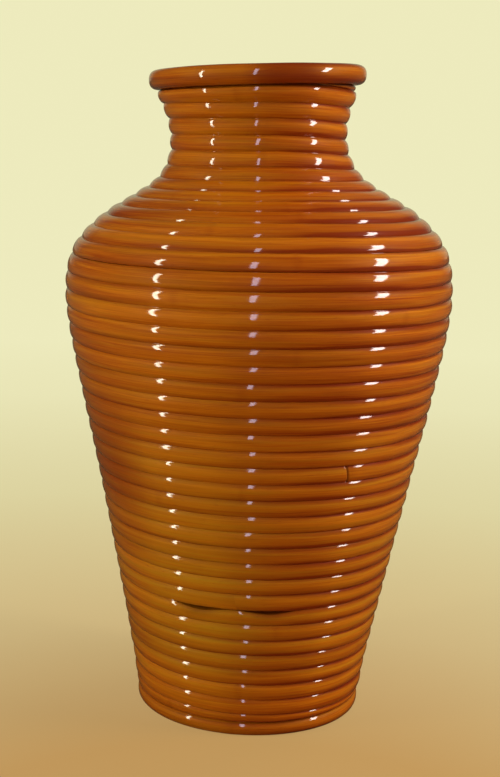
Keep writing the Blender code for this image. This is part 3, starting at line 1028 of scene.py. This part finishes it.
SOFT = [                 # name, place, side, watts, colour: soft boxes that leave no glint
    ("soft left", (-1.7, -1.6, 0.3), 1.0, 2, (1.0, 0.97, 0.92)),
    ("soft high left", (-1.7, -0.3, 1.9), 1.0, 8, (1.0, 0.97, 0.92)),
    ("soft right", (2.2, 0.0, 1.2), 1.2, 21, (1.0, 0.97, 0.85)),
    ("soft top", (0.2, -0.4, 2.5), 1.2, 11, (1.0, 0.96, 0.9)),
    ("soft back", (1.4, 1.5, 1.7), 1.2, 17, (1.0, 0.97, 0.85)),
]
SOFT_TARGET = Vector((0, 0, 0.2))


def floor_material():
    """Colour that pales outwards, mostly its own and a little lit, darker in the lacquer, and with
    painted shadow inside the foot.
    """
    material, graph = start_material("pale floor")
    place = graph.place()
    away = graph.vector("DISTANCE", place, (*FLOOR_MIDDLE, 0.0), output="Value") / FLOOR_REACH
    colour = graph.colours(away, *FLOOR_STOPS)
    path = graph.node("ShaderNodeLightPath")
    thrown = path.other("Is Diffuse Ray") * (1 - FLOOR_BOUNCE)
    lit = graph.node("ShaderNodeBsdfDiffuse", None,
                     {"Color": graph.mix(thrown, colour, (0.0, 0.0, 0.0))})
    gloss = path.other("Is Glossy Ray")
    from_axis = graph.vector("LENGTH", place, output="Value")
    # painted shadow on the floor inside the foot, seen from above
    inside = from_axis.ramp(FOOT_MIDDLE[0], FOOT_MIDDLE[0] - FOOT_CANE / 2)
    above = 1 - graph.node("ShaderNodeNewGeometry", output="Backfacing")
    strength = (1 - gloss * (1 - FLOOR_IN_GLOSS)) * (1 - inside * above * FLOOR_SHADOW_INSIDE)
    shown = graph.node("ShaderNodeEmission", None, {"Color": colour, "Strength": strength})
    share = FLOOR_OWN + away.ramp(0.15, 0.6) * (1 - FLOOR_OWN)
    seen = (path.math("MAXIMUM", path.other("Is Transmission Ray")) * share).math("MAXIMUM", gloss)
    end_material(graph, graph.node("ShaderNodeMixShader", None, {0: seen, 1: lit, 2: shown}))
    return material


def add_floor():
    bpy.ops.mesh.primitive_circle_add(vertices=DISC_SIDES, radius=FLOOR_RADIUS,
                                      fill_type="NGON", location=(0, 0, -FLOOR_DROP))
    floor = bpy.context.object
    floor.name = "floor"
    floor.data.materials.append(floor_material())


def set_world():
    """Cream to the camera, soft light on the vase, and a dark room in its lacquer."""
    world = bpy.data.worlds.new("studio")
    bpy.context.scene.world = world
    world.use_nodes = True
    graph = Graph(world.node_tree)

    def glow(colour, strength=1.0):
        return graph.node("ShaderNodeBackground", None, {"Color": colour, "Strength": strength})

    def blend(share, first, second):
        return graph.node("ShaderNodeMixShader", None, {0: share, 1: first, 2: second})

    cream = glow(CREAM)
    direction = graph.split(graph.node("ShaderNodeTexCoord", output="Generated"))
    behind = direction.other("Y").ramp(0.75, 1.0) * ROOM_BEHIND
    path = graph.node("ShaderNodeLightPath")
    mirrored = blend(behind, glow(ROOM), cream)
    shown = blend(path.other("Is Glossy Ray"), glow(AIR, AIR_STRENGTH), mirrored)
    graph.node("ShaderNodeOutputWorld", None, {"Surface": blend(path, shown, cream)})


def add_lamp(name, place, target, roll, width, height, watts, colour):
    light = bpy.data.lights.new(name, "AREA")
    light.shape = "RECTANGLE"
    light.size = width
    light.size_y = height
    light.energy = watts
    light.color = colour
    lamp = linked(name, light)
    aim = (target - place).to_track_quat("-Z", "Y").to_matrix().to_4x4()
    lamp.matrix_world = Matrix.Translation(place) @ aim @ Matrix.Rotation(roll, 4, "Z")
    lamp.visible_camera = False
    return lamp


def add_lamps():
    """Three strips that the wall mirrors in columns of glints, and soft boxes without a glint."""
    for name, azimuth, rise, roll, width, height, watts, colour in LAMPS:
        azimuth, rise, roll = math.radians(azimuth), math.radians(rise), math.radians(roll)
        spot = wall_point(BELLY_HEIGHT, 0, azimuth)
        level = math.cos(rise)
        facing = Vector((math.sin(azimuth) * level, -math.cos(azimuth) * level, math.sin(rise)))
        back = (CAMERA - spot).normalized()
        place = spot + (2 * facing.dot(back) * facing - back) * LAMP_DISTANCE
        add_lamp(name, place, spot, roll, width, height, watts, colour)
    for name, place, side, watts, colour in SOFT:
        lamp = add_lamp(name, Vector(place), SOFT_TARGET, 0, side, side, watts, colour)
        lamp.visible_glossy = False


def set_camera():
    camera = bpy.data.cameras.new("camera")
    camera.lens = LENS
    viewer = linked("camera", camera)
    viewer.matrix_world = (Matrix.Translation(CAMERA)
                           @ Matrix.Rotation(math.pi / 2 - PITCH, 4, "X")
                           @ Matrix.Rotation(ROLL, 4, "Z"))
    bpy.context.scene.camera = viewer


def main():
    bpy.context.scene.view_settings.view_transform = "Standard"
    set_camera()
    wound = lacquered_cane("lacquered cane", CANE_MEETING)
    rim = lacquered_cane("lacquered rim cane", RING_MEETING)
    foot = lacquered_cane("lacquered foot cane", RING_MEETING)
    bare = plain_cane("plain cane")
    tree = cane_tree()
    add_winding(tree, wound)
    add_rim_ring(tree, rim)
    add_foot_ring(tree, foot)
    add_ribs(tree, bare)
    add_hoop("belly_hoop", BELLY_HEIGHT, tree, bare, 51.0)
    add_hoop("neck_hoop", NECK_HEIGHT, tree, bare, 52.0)
    add_board(plain_board("plain board"))
    add_all_nails(bright_nail("bright nail"))
    add_floor()
    set_world()
    add_lamps()


main()
